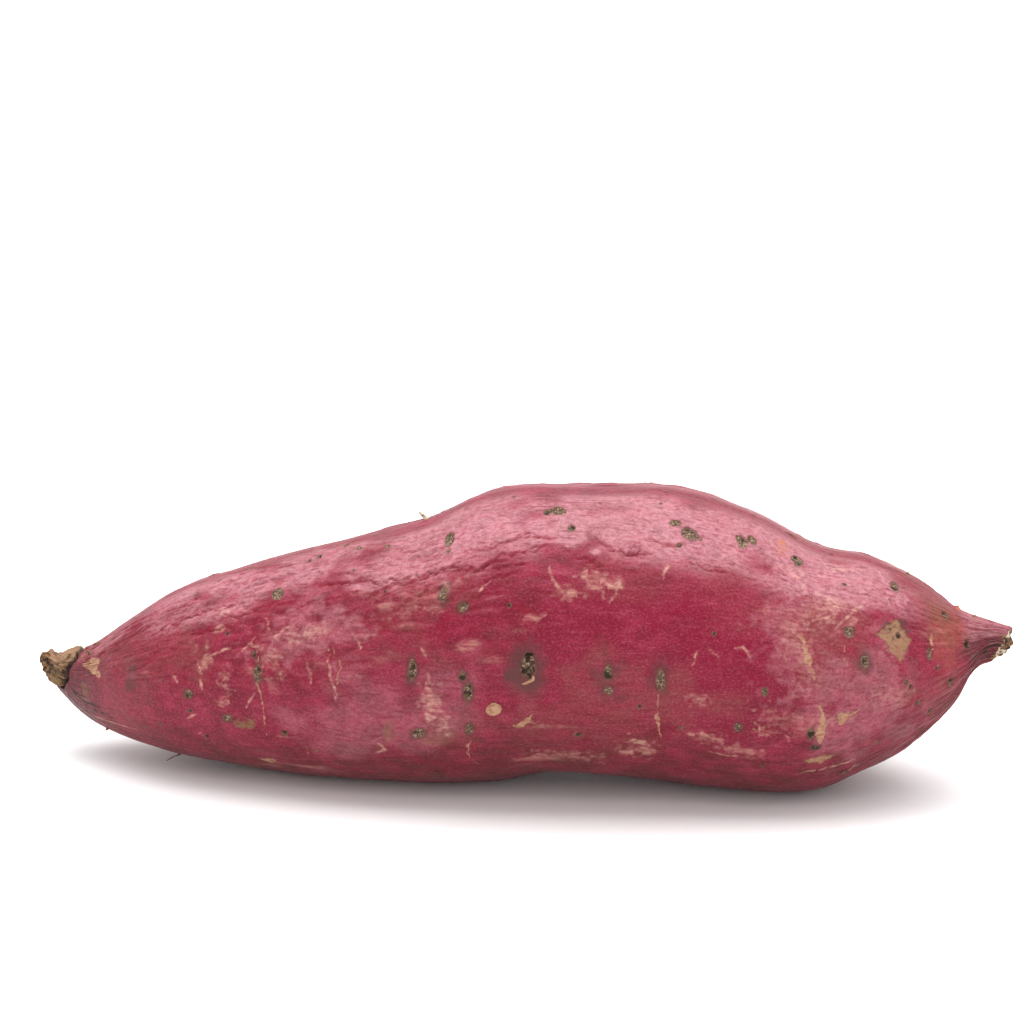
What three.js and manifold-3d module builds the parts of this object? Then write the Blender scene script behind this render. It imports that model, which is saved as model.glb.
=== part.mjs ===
// A sweet potato: one swollen storage root, lying on its side on two small flat rest spots.
// Millimetres, +Z up. +X runs along the root, from its thin root tip to the cut vine stem.
// The origin is on the resting plane, at the middle of the root's footprint.

import * as THREE from "three";
import { mergeVertices } from "three/addons/utils/BufferGeometryUtils.js";
import Module from "manifold-3d";

// The root's outline at stations along its length. Each row gives the distance from the root tip,
// the sideways sway of the centreline, the heights of the keel and of the ridge above the resting
// plane, and the half width. A keel below the plane is where the root's own weight pressed it flat.
const STATIONS = [
  // along, sway, keel, ridge, half width
  [0.0, 6.0, 19.3, 20.1, 0.3],
  [1.5, 6.0, 17.0, 21.3, 2.0],
  [6.0, 5.5, 12.0, 21.6, 4.5],
  [13.0, 4.5, 7.2, 24.0, 8.5],
  [24.0, 2.5, 3.8, 32.0, 14.5],
  [35.0, 1.0, 1.4, 38.0, 18.5],
  [56.0, -0.5, 0.2, 45.5, 23.5],
  [82.0, -0.5, -0.7, 53.4, 27.5],
  [96.0, 0.0, -0.3, 59.2, 29.0],
  [111.0, 0.5, 2.2, 60.5, 30.0],
  [131.0, 1.5, 0.5, 60.0, 30.0],
  [147.0, 2.0, -0.7, 55.6, 29.5],
  [161.0, 1.5, -0.1, 49.4, 27.0],
  [171.0, 0.5, 3.7, 47.3, 23.0],
  [181.0, -0.5, 9.8, 42.8, 17.0],
  [188.0, -1.5, 17.8, 38.4, 11.0],
  [192.0, -2.0, 25.5, 36.4, 6.0],
  [196.0, -2.0, 28.0, 35.2, 4.2],
  [203.0, -2.5, 28.7, 33.2, 3.5],
];

// Shallow lengthwise swellings of the two flanks: how many would go round the root, how high each
// stands as a share of the radius, where the first one starts, and how far they twist from end to
// end. They fade out towards the keel and the ridge, whose heights the stations give.
const SWELLINGS = [
  { around: 2, share: 0.015, start: 0.6, twist: 1.4 },
  { around: 3, share: 0.02, start: 2.1, twist: -1.1 },
  { around: 5, share: 0.01, start: 0.3, twist: 2.3 },
];

// The vine stem was cut off aslant: a point on the cut and the direction that the cut faces.
const STEM_CUT_POINT = new THREE.Vector3(198.3, -2, 31);
const STEM_CUT_FACING = new THREE.Vector3(0.82, -0.35, -0.43).normalize();

// The mesh: rings along the root, and corners round each ring.
const RINGS = 96;
const CORNERS = 40;

// The side of a block for trimming the root: it reaches past both ends from any point of the root.
const BLOCK = 600;

const FULL_TURN = 2 * Math.PI;

const centreline = new THREE.CatmullRomCurve3(
  STATIONS.map(([along, sway, keel, ridge]) => new THREE.Vector3(along, sway, (keel + ridge) / 2)),
  false,
  "catmullrom",
);

const girth = new THREE.CatmullRomCurve3(
  STATIONS.map(([, , keel, ridge, halfWidth]) => new THREE.Vector3(halfWidth, (ridge - keel) / 2, 0)),
  false,
  "catmullrom",
);

// How much the section stands proud of a plain ellipse, as a factor near 1.
function swelling(share, angle) {
  const fade = Math.cos(angle) ** 2;
  let factor = 1;
  for (const wave of SWELLINGS) {
    factor += fade * wave.share * Math.cos(wave.around * angle - wave.start - wave.twist * share);
  }
  return factor;
}

// A point of the skin, at a share of the way along the stations and an angle round the section.
function skinPoint(share, angle) {
  const centre = centreline.getPoint(share);
  const half = girth.getPoint(share);
  const proud = swelling(share, angle);
  return [
    centre.x,
    centre.y + half.x * proud * Math.cos(angle),
    centre.z + half.y * proud * Math.sin(angle),
  ];
}

// The whole root as rings joined by triangles, closed by a fan of triangles at each end.
function rootGeometry() {
  const points = [];
  for (let ring = 0; ring < RINGS; ring++) {
    for (let corner = 0; corner < CORNERS; corner++) {
      points.push(...skinPoint(ring / (RINGS - 1), (FULL_TURN * corner) / CORNERS));
    }
  }
  const tip = points.length / 3;
  points.push(...centreline.getPoint(0).toArray());
  const stem = tip + 1;
  points.push(...centreline.getPoint(1).toArray());

  const triangles = [];
  const lastRing = (RINGS - 1) * CORNERS;
  for (let corner = 0; corner < CORNERS; corner++) {
    const next = (corner + 1) % CORNERS;
    triangles.push(tip, next, corner);
    triangles.push(stem, lastRing + corner, lastRing + next);
    for (let ring = 0; ring < RINGS - 1; ring++) {
      const near = ring * CORNERS;
      const far = near + CORNERS;
      triangles.push(near + corner, near + next, far + next);
      triangles.push(near + corner, far + next, far + corner);
    }
  }
  return new THREE.BufferGeometry()
    .setAttribute("position", new THREE.Float32BufferAttribute(points, 3))
    .setIndex(triangles);
}

// A block that fills the space beyond a plane, on the side that the plane faces.
function blockBeyond(point, facing) {
  const turn = new THREE.Quaternion().setFromUnitVectors(new THREE.Vector3(0, 0, 1), facing);
  return new THREE.BoxGeometry(BLOCK, BLOCK, BLOCK)
    .translate(0, 0, BLOCK / 2)
    .applyQuaternion(turn)
    .translate(point.x, point.y, point.z);
}

function solidOf(wasm, geometry) {
  const bare = geometry.clone();
  bare.deleteAttribute("normal");
  bare.deleteAttribute("uv");
  const merged = mergeVertices(bare);
  return new wasm.Manifold(
    new wasm.Mesh({
      numProp: 3,
      vertProperties: merged.attributes.position.array,
      triVerts: new Uint32Array(merged.index.array),
    }),
  );
}

function geometryOf(solid) {
  const mesh = solid.getMesh();
  return new THREE.BufferGeometry()
    .setAttribute("position", new THREE.BufferAttribute(mesh.vertProperties, 3))
    .setIndex(new THREE.BufferAttribute(mesh.triVerts, 1));
}

// The root, pressed flat where it rests, with its stem cut off, moved so that the origin is under
// the middle of its footprint.
async function sweetPotatoGeometry() {
  const wasm = await Module();
  wasm.setup();
  const restingPlane = blockBeyond(new THREE.Vector3(), new THREE.Vector3(0, 0, -1));
  const stemOffcut = blockBeyond(STEM_CUT_POINT, STEM_CUT_FACING);
  const solid = solidOf(wasm, rootGeometry())
    .subtract(solidOf(wasm, restingPlane))
    .subtract(solidOf(wasm, stemOffcut));
  const geometry = geometryOf(solid);
  geometry.computeBoundingBox();
  const { min, max } = geometry.boundingBox;
  geometry.translate(-(min.x + max.x) / 2, -(min.y + max.y) / 2, -min.z);
  geometry.computeVertexNormals();
  return geometry;
}

const skin = new THREE.MeshStandardMaterial({ color: 0xa84a5e, roughness: 0.6, metalness: 0 });

const sweetPotato = new THREE.Mesh(await sweetPotatoGeometry(), skin);
sweetPotato.name = "sweet_potato";

const model = new THREE.Group();
model.add(sweetPotato);

export default model;
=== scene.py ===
"""A sweet potato lying on a pale floor in soft studio light.

The CAD solid gives the form. Its skin is rebuilt here as one fine mesh on a grid of rings and
columns: rings run round the root from the root tip to the cut stem, and columns run along it.
Scars, flaked patches, scratches, creases and wrinkles are then raised or sunk in that mesh, and
each leaves a mask on it that the skin's material colours. Some masks paint light and shade into
that colour: shade in creases, in cracks and under the root, a highlight along the top that is
partly waxy bloom, and pale specks that are partly glints.

Lengths are in millimetres until the mesh is made. A place on the skin is (along, around): along
is x in the frame, from the root tip to the stem, and around is an angle in degrees, where 0
faces the front (-Y), 90 the top and 180 the back.
"""
import math

import bpy
import numpy as np
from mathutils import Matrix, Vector
from mathutils.bvhtree import BVHTree


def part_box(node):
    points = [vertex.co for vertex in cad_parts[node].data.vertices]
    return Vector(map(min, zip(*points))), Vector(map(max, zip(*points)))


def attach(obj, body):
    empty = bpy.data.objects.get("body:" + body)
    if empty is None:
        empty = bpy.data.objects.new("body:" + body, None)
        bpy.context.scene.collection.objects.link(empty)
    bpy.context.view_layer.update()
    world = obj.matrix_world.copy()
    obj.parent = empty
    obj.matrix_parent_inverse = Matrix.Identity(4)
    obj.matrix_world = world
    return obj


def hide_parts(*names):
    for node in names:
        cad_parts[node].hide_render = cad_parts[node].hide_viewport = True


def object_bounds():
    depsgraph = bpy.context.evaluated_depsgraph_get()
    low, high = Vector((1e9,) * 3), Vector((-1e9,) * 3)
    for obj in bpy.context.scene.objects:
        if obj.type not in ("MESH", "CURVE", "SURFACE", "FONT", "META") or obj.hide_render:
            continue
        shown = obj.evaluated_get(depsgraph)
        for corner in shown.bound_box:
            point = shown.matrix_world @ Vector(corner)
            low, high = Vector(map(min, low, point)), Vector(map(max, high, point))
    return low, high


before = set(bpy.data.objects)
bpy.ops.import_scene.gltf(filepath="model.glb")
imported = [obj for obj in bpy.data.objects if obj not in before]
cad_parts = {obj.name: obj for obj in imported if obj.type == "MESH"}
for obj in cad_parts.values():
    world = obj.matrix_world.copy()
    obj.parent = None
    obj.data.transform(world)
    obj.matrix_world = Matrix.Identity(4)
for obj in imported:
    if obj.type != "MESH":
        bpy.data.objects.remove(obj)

CAD_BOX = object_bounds()
NODE = "sweet_potato"
BODY = "root"
MM = 0.001

# The grid: COLUMNS go round the root, its rings are RING_STEP apart, and CUT_RINGS more of them
# shrink to the middle of the stem's cut face.
COLUMNS = 576
RING_STEP = 0.3
CUT_RINGS = 16

# How the CAD solid is read: planes across the root, rays in each plane, and how much its facets
# are smoothed along and round the root. The planes turn to face as the stem's cut does over the
# last TURN_LENGTH, and the last KEEP_END at each end is less smoothed. The cut face itself lies
# within CUT_DEPTH of the far end.
PLANE_STEP = 0.6
RAYS = 96
SMOOTH_ALONG = 2.0
SMOOTH_DEGREES = 7.0
TURN_LENGTH = 10.0
KEEP_END = 8.0
CUT_DEPTH = 5.0


# ---- Number helpers

def smoothstep(low, high, value):
    t = np.clip((value - low) / (high - low), 0.0, 1.0)
    return t * t * (3.0 - 2.0 * t)


def unit(vectors):
    return vectors / np.linalg.norm(vectors, axis=-1, keepdims=True)


def gauss(field, sigma, axis, wrap):
    """A Gaussian blur along one axis, with sigma in grid steps."""
    half = int(3 * sigma) + 1
    weights = np.exp(-0.5 * (np.arange(-half, half + 1) / sigma) ** 2)
    weights /= weights.sum()
    widths = [(half, half) if a == axis else (0, 0) for a in range(field.ndim)]
    if wrap:
        padded = np.pad(field, widths, mode="wrap")
    else:
        padded = np.pad(field, widths, mode="reflect", reflect_type="odd")
    length = field.shape[axis]
    total = np.zeros(field.shape)
    for k, weight in enumerate(weights):
        total += weight * np.take(padded, range(k, k + length), axis=axis)
    return total


LATTICE = 32


def noise(points, size, seed, octaves=1):
    """Smooth noise from about -1 to 1 at points in space, with features about size mm across."""
    total = np.zeros(points.shape[:-1])
    weight, weights = 1.0, 0.0
    for octave in range(octaves):
        table = np.random.default_rng(seed + octave).uniform(-1, 1, (LATTICE,) * 3)
        scaled = points / size * 2 ** octave + 17.3 * octave + 100.0
        cell = np.floor(scaled).astype(int)
        t = scaled - cell
        t = t * t * (3 - 2 * t)
        value = np.zeros(total.shape)
        for corner in range(8):
            bits = np.array([corner & 1, corner >> 1 & 1, corner >> 2])
            index = (cell + bits) % LATTICE
            share = np.where(bits, t, 1 - t).prod(axis=-1)
            value += share * table[index[..., 0], index[..., 1], index[..., 2]]
        total += weight * value
        weights += weight
        weight *= 0.5
    return total * 1.6 / weights


# ---- Reading the CAD solid

def cut_face(mesh):
    """The middle of the stem's cut face and the direction it faces, from the CAD mesh."""
    end = max(v.co.x for v in mesh.vertices) - CUT_DEPTH * MM
    faces = [p for p in mesh.polygons if p.center.x > end and p.normal.x > 0.7]
    area = sum(p.area for p in faces)
    middle = sum((p.center * p.area for p in faces), Vector()) / area
    facing = sum((p.normal * p.area for p in faces), Vector()).normalized()
    return np.array(middle) / MM, np.array(facing)


def plane_axes(facing):
    """Unit vectors in the planes that face this way: towards the front, and up."""
    front = unit(np.array([0.0, -1.0, 0.0]) + facing * facing[..., 1:2])
    return front, np.cross(front, facing)


def cast(tree, centre, front, up, angles):
    """How far the skin is from the centre in each direction of the plane."""
    reach = np.full(len(angles), np.nan)
    for i, angle in enumerate(angles):
        ray = front * math.cos(angle) + up * math.sin(angle)
        distance = tree.ray_cast(Vector(centre), Vector(ray))[3]
        if distance is not None:
            reach[i] = distance
    lost = np.isnan(reach)
    if lost.any():
        reach[lost] = np.interp(angles[lost], angles[~lost], reach[~lost], period=2 * math.pi)
    return reach


def centred(tree, centre, front, up):
    """The centre, moved to the middle of its section."""
    angles = np.linspace(0.0, 2 * math.pi, 24, endpoint=False)
    for _ in range(3):
        reach = cast(tree, centre, front, up, angles)
        centre = centre + front * (reach * np.cos(angles)).mean() + up * (reach * np.sin(angles)).mean()
    return centre


def read_solid(node):
    """Sections of the CAD solid: their centres, the way they face, and the reach of each ray."""
    mesh = node.data
    tree = BVHTree.FromPolygons(
        [v.co / MM for v in mesh.vertices], [tuple(p.vertices) for p in mesh.polygons]
    )
    low, high = (np.array(corner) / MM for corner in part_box(NODE))
    cut_middle, cut_facing = cut_face(mesh)
    first, last = low[0] + 0.05, cut_middle[0] - 0.1
    count = int((last - first) / PLANE_STEP) + 1
    along = np.linspace(first, last, count)
    turn = smoothstep(cut_middle[0] - TURN_LENGTH, cut_middle[0], along)[:, None]
    facing = unit((1 - turn) * np.array([1.0, 0.0, 0.0]) + turn * cut_facing)
    front, up = plane_axes(facing)
    middle = count // 2
    centres = np.zeros((count, 3))
    centres[middle] = along[middle], 0.0, (low[2] + high[2]) / 2
    centres[middle] = centred(tree, centres[middle], front[middle], up[middle])
    for step, order in ((1, range(middle + 1, count)), (-1, range(middle - 1, -1, -1))):
        for i in order:
            near = centres[i - step]
            centres[i] = centred(tree, np.array([along[i], near[1], near[2]]), front[i], up[i])
    angles = np.linspace(0.0, 2 * math.pi, RAYS, endpoint=False)
    reach = np.array([cast(tree, c, f, u, angles) for c, f, u in zip(centres, front, up)])
    return centres, facing, reach


def spline_matrix(places, count, wrap):
    """A matrix that evaluates a uniform cubic B-spline of count points at the given places."""
    whole = np.floor(places).astype(int)
    if not wrap:
        whole = np.minimum(whole, count - 2)
    t = places - whole
    basis = np.stack([
        (1 - t) ** 3,
        3 * t ** 3 - 6 * t ** 2 + 4,
        -3 * t ** 3 + 3 * t ** 2 + 3 * t + 1,
        t ** 3,
    ]) / 6.0
    matrix = np.zeros((len(places), count))
    rows = np.arange(len(places))
    for k in range(4):
        point = whole + k - 1
        if wrap:
            np.add.at(matrix, (rows, point % count), basis[k])
            continue
        inside = (point >= 0) & (point < count)
        np.add.at(matrix, (rows[inside], point[inside]), basis[k][inside])
        for beyond, end, step in ((point < 0, 0, 1), (point >= count, count - 1, -1)):
            np.add.at(matrix, (rows[beyond], end), 2 * basis[k][beyond])
            np.add.at(matrix, (rows[beyond], end + step), -basis[k][beyond])
    return matrix


# ---- The skin as a grid

# Some of these masks carry painted light: shade painted into creases, cracks and under the root, and a
# highlight painted along the top, partly as waxy bloom.
MASKS = (
    "scar", "dark_mark_and_shade", "halo", "flake", "pale", "crimson", "dust", "purple", "olive", "rust",
    "crease", "bark", "cut", "bloom", "painted_underside_shade",
)


class Skin:
    """The smooth skin as a grid of places, with the relief and the masks that marks leave on it."""

    def __init__(self, node):
        centres, facing, reach = read_solid(node)
        keep = smoothstep(0.0, KEEP_END, centres[:, 0] - centres[0, 0])
        keep *= smoothstep(0.0, KEEP_END, centres[-1, 0] - centres[:, 0])
        soft = gauss(reach, SMOOTH_DEGREES / 360.0 * RAYS, 1, True)
        soft = gauss(soft, SMOOTH_ALONG / PLANE_STEP, 0, False)
        reach = reach + (soft - reach) * keep[:, None]

        self.rings = int((centres[-1, 0] - centres[0, 0]) / RING_STEP)
        along = spline_matrix(np.linspace(0, len(centres) - 1, self.rings), len(centres), False)
        round_ = spline_matrix(np.arange(COLUMNS) * RAYS / COLUMNS, RAYS, True)
        front, up = plane_axes(unit(along @ facing))
        centre, reach = along @ centres, along @ reach @ round_.T

        shrink = np.linspace(1.0, 0.0, CUT_RINGS + 2)[1:-1]
        rows = np.concatenate([np.arange(self.rings), np.full(CUT_RINGS, self.rings - 1)])
        centre, front, up, reach = centre[rows], front[rows], up[rows], reach[rows]
        reach[self.rings:] *= shrink[:, None]

        degrees = np.arange(COLUMNS) * 360.0 / COLUMNS
        angle = np.radians(degrees)[:, None]
        ray = front[:, None] * np.cos(angle) + up[:, None] * np.sin(angle)
        self.place = centre[:, None] + reach[..., None] * ray
        self.shape = reach.shape
        self.x = self.place[..., 0]
        step = np.linalg.norm(np.diff(self.place, axis=0), axis=2)
        self.travel = np.vstack([np.zeros(COLUMNS), np.cumsum(step, 0)])
        self.girth_step = np.linalg.norm(np.roll(self.place, -1, 1) - self.place, axis=2)
        self.normal = self.normals(self.place)
        self.around = np.broadcast_to((degrees + 90.0) % 360.0 - 90.0, self.shape)
        self.relief = np.zeros(self.shape)
        self.masks = {name: np.zeros(self.shape) for name in MASKS}
        self.masks["cut"][self.rings:] = 1.0

    @staticmethod
    def normals(place):
        ahead = np.gradient(place, axis=0)
        aside = np.roll(place, -1, 1) - np.roll(place, 1, 1)
        return unit(np.cross(ahead, aside))

    def streaks(self, along, around, seed):
        """Random streaks of these lengths in mm along and round the root, from about -1 to 1."""
        white = np.random.default_rng(seed).normal(size=self.shape)
        field = gauss(white, along / RING_STEP, 0, False)
        field = gauss(field, around / self.girth_step.mean(), 1, True)
        return field / field.std() / 2

    def lay(self, name, strength, part=np.s_[:, :]):
        """Lays a mask over part of the grid: the stronger of the old and the new value stays."""
        mask = self.masks[name]
        mask[part] = np.maximum(mask[part], strength)


class Chart:
    """A flat map of part of the skin, in mm along and round from its middle."""

    def __init__(self, skin, outline, margin):
        self.skin = skin
        along, around = zip(*outline)
        middle = self.middle = (min(around) + max(around)) / 2
        column = int(round(middle / 360.0 * COLUMNS))
        self.line = skin.x[:skin.rings, column % COLUMNS]
        self.travel = skin.travel[:skin.rings, column % COLUMNS]
        first, last = np.searchsorted(self.line, (min(along) - margin, max(along) + margin))
        last = min(last, skin.rings - 1)
        half = (max(around) - min(around)) / 2
        near = slice(first, last + 1)
        columns = (column + np.arange(-4, 5)) % COLUMNS
        self.radius = skin.girth_step[:skin.rings, columns].mean(1) / (2 * math.pi / COLUMNS)
        spread = half + math.degrees(margin / max(self.radius[near].min(), 0.5))
        span = min(int(spread / 360.0 * COLUMNS) + 1, COLUMNS // 2 - 1)
        offsets = np.arange(-span, span + 1)
        rows = np.arange(first, last + 1)
        self.part = np.ix_(rows, (column + offsets) % COLUMNS)
        self.base = np.interp((min(along) + max(along)) / 2, self.line, self.travel)
        turned = math.radians(1) * (offsets * 360.0 / COLUMNS + column * 360.0 / COLUMNS - middle)
        self.a = (self.travel[rows] - self.base)[:, None] + np.zeros(len(offsets))
        self.b = self.radius[rows][:, None] * turned
        self.points = skin.place[self.part]

    def lift(self, height):
        self.skin.relief[self.part] += height

    def lay(self, name, strength):
        self.skin.lay(name, strength, self.part)

    def at(self, place):
        """The map's coordinates of a place on the skin."""
        along, around = place
        a = np.interp(along, self.line, self.travel) - self.base
        radius = np.interp(along, self.line, self.radius)
        return np.array([a, radius * math.radians(around - self.middle)])

    def warped(self, amount, size, seed):
        """The map's coordinates, shifted by noise."""
        a = self.a + amount * noise(self.points, size, seed, 2)
        b = self.b + amount * noise(self.points, size, seed + 50, 2)
        return a, b


# ---- Kinds of mark

# A mark takes the skin and a seed, then what a row of its list gives, in the row's order.

def oval(chart, wide, tall, warp, seed):
    """Distance from the chart's middle as a share of an uneven oval's radius."""
    a, b = chart.warped(warp, 0.9, seed)
    return np.hypot(a / (wide / 2), b / (tall / 2))


def scar(skin, seed, along, around, wide, tall, halo, darkness, depth=0.3):
    """A lenticel scar: a pitted oval of dry cork with a raised rim, in a stain if it has a halo."""
    size = min(wide, tall)
    chart = Chart(skin, [(along, around)], 0.5 * max(wide, tall) + 1.0 + halo)
    r = oval(chart, wide, tall, 0.14 * size, seed)
    gap = (r - 1) * size / 2
    inside = 1 - smoothstep(-0.25, 0.1, gap)
    lumps = noise(chart.points, 0.7, seed + 9, 3)
    chart.lift(0.16 * np.exp(-(gap / 0.28) ** 2))
    chart.lift(inside * (0.9 * depth * lumps - depth))
    chart.lay("scar", np.clip(0.5 - gap / 0.9, 0, 1))
    low = 1 - 2.2 * darkness
    chart.lay("dark_mark_and_shade", inside * smoothstep(low, low + 0.7, -lumps))
    if halo:
        spread = 1 - smoothstep(0.0, 1.0, gap / halo + 0.25 * noise(chart.points, 1.6, seed + 3))
        chart.lay("halo", 0.7 * spread)


def disc(skin, seed, along, around, size):
    """A smooth tan disc with a thin dark rim, where a side root broke off clean."""
    chart = Chart(skin, [(along, around)], size)
    gap = np.hypot(chart.a, chart.b) + 0.08 * noise(chart.points, 1.2, seed) - size / 2
    chart.lift(-0.25 * np.exp(-((gap - 0.1) / 0.22) ** 2))
    chart.lift(0.12 * (1 - smoothstep(-0.5, 0.0, gap)))
    chart.lay("flake", 1 - smoothstep(-0.15, 0.15, gap))
    chart.lay("dark_mark_and_shade", 0.6 * np.exp(-((gap - 0.15) / 0.2) ** 2))


def signed_distance(a, b, corners):
    """Distance from a closed outline, negative inside it."""
    nearest = np.full(a.shape, np.inf)
    inside = np.zeros(a.shape, dtype=bool)
    for (a0, b0), (a1, b1) in zip(corners, np.roll(corners, -1, axis=0)):
        da, db = a1 - a0, b1 - b0
        t = np.clip(((a - a0) * da + (b - b0) * db) / (da * da + db * db), 0, 1)
        nearest = np.minimum(nearest, np.hypot(a - a0 - t * da, b - b0 - t * db))
        crosses = (b0 > b) != (b1 > b)
        inside ^= crosses & (a < a0 + (b - b0) / (db if db else 1e-9) * da)
    return np.where(inside, -nearest, nearest)


def flake(skin, seed, strength, outline, mask="flake"):
    """A patch where the thin skin flaked off: its outline is a ring of places on the skin."""
    chart = Chart(skin, outline, 2.0)
    a, b = chart.warped(0.35, 1.1, seed)
    gap = signed_distance(a, b, np.array([chart.at(place) for place in outline]))
    gap = gap + 0.0875 * noise(chart.points, 0.45, seed + 5)
    inside = 1 - smoothstep(-0.12, 0.12, gap)
    chart.lift(strength * (0.07 * np.exp(-((gap - 0.1) / 0.2) ** 2) - 0.12 * inside))
    chart.lay(mask, strength * inside)


def along_route(chart, route, a, b):
    """The distance from a route, its signed side, and the share of the route passed so far."""
    stops = np.array([chart.at(place) for place in route])
    lengths = np.hypot(*np.diff(stops, axis=0).T)
    nearest = np.full(a.shape, np.inf)
    share, side = np.zeros(a.shape), np.zeros(a.shape)
    passed = 0.0
    for (a0, b0), (a1, b1), length in zip(stops, stops[1:], lengths):
        da, db = (a1 - a0) / length, (b1 - b0) / length
        t = np.clip((a - a0) * da + (b - b0) * db, 0, length)
        gap = np.hypot(a - a0 - t * da, b - b0 - t * db)
        closer = gap < nearest
        nearest = np.where(closer, gap, nearest)
        share = np.where(closer, (passed + t) / lengths.sum(), share)
        side = np.where(closer, (b - b0) * da - (a - a0) * db, side)
        passed += length
    return nearest, side, share


def taper(share):
    """A width that falls away towards both ends of a route."""
    return np.sqrt(np.clip(4 * share * (1 - share), 0.02, 1))


def crease(skin, seed, width, depth, route, lip=0.5, wander=0.5):
    """A folded groove with a swollen lip above it, darkened inside with painted shade."""
    chart = Chart(skin, route, 3 * width + 2.0)
    a, b = chart.warped(wander, 2.2, seed)
    gap, side, share = along_route(chart, route, a, b)
    thick = width * taper(share) * (1 + 0.35 * noise(chart.points, 1.8, seed + 7))
    core = np.exp(-(gap / thick) ** 2)
    fold = np.exp(-((side - 2.0 * thick) / (1.3 * thick)) ** 2) * (gap < 4 * thick)
    chart.lift(depth * taper(share) * (lip * fold - core))
    # Painted shade along the groove's core.
    chart.lay("crease", core * np.clip(1.3 * taper(share), 0, 1))


def scratch(skin, seed, width, route, mask="pale", strength=0.9, wander=0.25, breaks=0.25):
    """A thin scuffed line."""
    chart = Chart(skin, route, width + 1.5)
    a, b = chart.warped(wander, 1.3, seed)
    gap, _, share = along_route(chart, route, a, b)
    half = 0.5 * width * taper(share) * (1 + 0.5 * noise(chart.points, 0.9, seed + 7))
    line = 1 - smoothstep(-0.12, 0.14, gap - half)
    line *= smoothstep(-0.75, -0.75 + 2 * breaks + 0.01, noise(chart.points, 0.7, seed + 8) + 0.3)
    chart.lift(0.05 * line)
    chart.lay(mask, strength * line)


def stain(skin, seed, along, around, wide, tall, mask, strength=1.0, patchy=0.5, grain=1.6):
    """A soft-edged blotch of colour, more or less broken up."""
    chart = Chart(skin, [(along, around)], 0.75 * max(wide, tall) + 1.0)
    a, b = chart.warped(0.18 * min(wide, tall), 0.4 * min(wide, tall) + 1.0, seed)
    r = np.hypot(a / (wide / 2), b / (tall / 2))
    r = r + patchy * noise(chart.points, grain, seed + 4, 3)
    chart.lay(mask, strength * (1 - smoothstep(0.45, 1.15, r)))


def bump(skin, seed, along, around, wide, tall, height):
    """A small swelling."""
    chart = Chart(skin, [(along, around)], max(wide, tall) + 1.0)
    r = oval(chart, wide, tall, 0.1 * min(wide, tall), seed)
    chart.lift(height * np.exp(-1.4 * r ** 2))


# ---- The marks of this root. Lengths are in mm; each row starts with its place or places.

# Lenticel scars: along, around, width along the root, height round it, halo, darkness.
SCARS = [
    (-63, 3, 2, 2, 0.7, 0.55), (-63, -8, 1.3, 0.8, 0, 0.8), (-60, -27, 0.9, 1.3, 0, 0.8),
    (-45, 52, 2.7, 3, 0, 0.3), (-49, 22, 1.1, 1.7, 0, 0.55), (-48, 12, 1.8, 3.9, 0.7, 0.5),
    (-55, -12, 2, 1.8, 0.5, 0.5), (-43, -20, 1.5, 1.4, 0, 0.55), (-17, 8, 1.7, 4.7, 0.8, 0.45),
    (-11, 62, 2.1, 4.2, 0, 0.45), (-11, 55, 1, 1.2, 0, 0.4), (-11, 35, 1.6, 3, 1.2, 0.5),
    (-7, 28, 1.8, 1.8, 1.2, 0.45), (-7, 2, 1.5, 2.2, 0.8, 0.85), (-6, -5, 1.8, 4, 0.8, 0.5),
    (-6, -22, 1.5, 2.8, 0.5, 0.5), (-16, -21, 2.5, 2.2, 0.8, 0.5), (8, 67, 2, 2.2, 0, 0.55),
    (10, 68, 3.2, 2.8, 0, 0.3), (13, 57, 1.8, 2, 0, 0.5), (33, 65, 2.4, 2.1, 0, 0.3),
    (36, 60, 3, 3.4, 0.5, 0.45), (34, 53, 1.2, 1.4, 0, 0.5), (21, 1, 1.7, 3.3, 0.8, 0.6),
    (21, -6, 1.6, 1.8, 0.7, 0.75), (31, 0, 1.8, 4.6, 1, 0.4), (15, -28, 1.7, 1, 0, 0.75),
    (46, 64, 2.6, 3.4, 0, 0.4), (48, 67, 2.2, 2.6, 0, 0.3), (57, 66, 2.5, 3.2, 0, 0.5),
    (46, -15, 2, 2, 0.6, 0.55), (51, 2, 1.3, 2.2, 0, 0.5), (67, 32, 2, 2.4, 0.5, 0.4),
    (70, 18, 1.9, 3.2, 1.3, 0.5), (76, 67, 1.7, 2.6, 0.4, 0.6), (78, 6, 1, 1.6, 0, 0.4),
    (76.5, 33, 1.5, 1.4, 0, 0.7), (75, 36, 0.7, 0.7, 0, 0.7), (81, -12, 1.1, 1.5, 0.4, 0.7),
    (83.5, -27, 0.9, 1.8, 0.3, 0.8), (87, -8, 1.2, 2.1, 0.3, 0.6),
    (86, 60, 1.5, 2, 0.6, 0.75), (67, -45, 2, 1.6, 0.5, 0.7), (60, -13, 1.5, 2.8, 0.6, 0.9),
    (61, -21, 1.9, 1.3, 0.4, 0.9), (48, -77, 4.5, 3, 0.6, 0.5), (90, 26, 1.3, 1.9, 0.5, 1),
    (94, -9, 1.1, 1.2, 0.4, 1), (82.5, 22, 1.2, 2.2, 0.4, 0.5),
]

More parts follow.
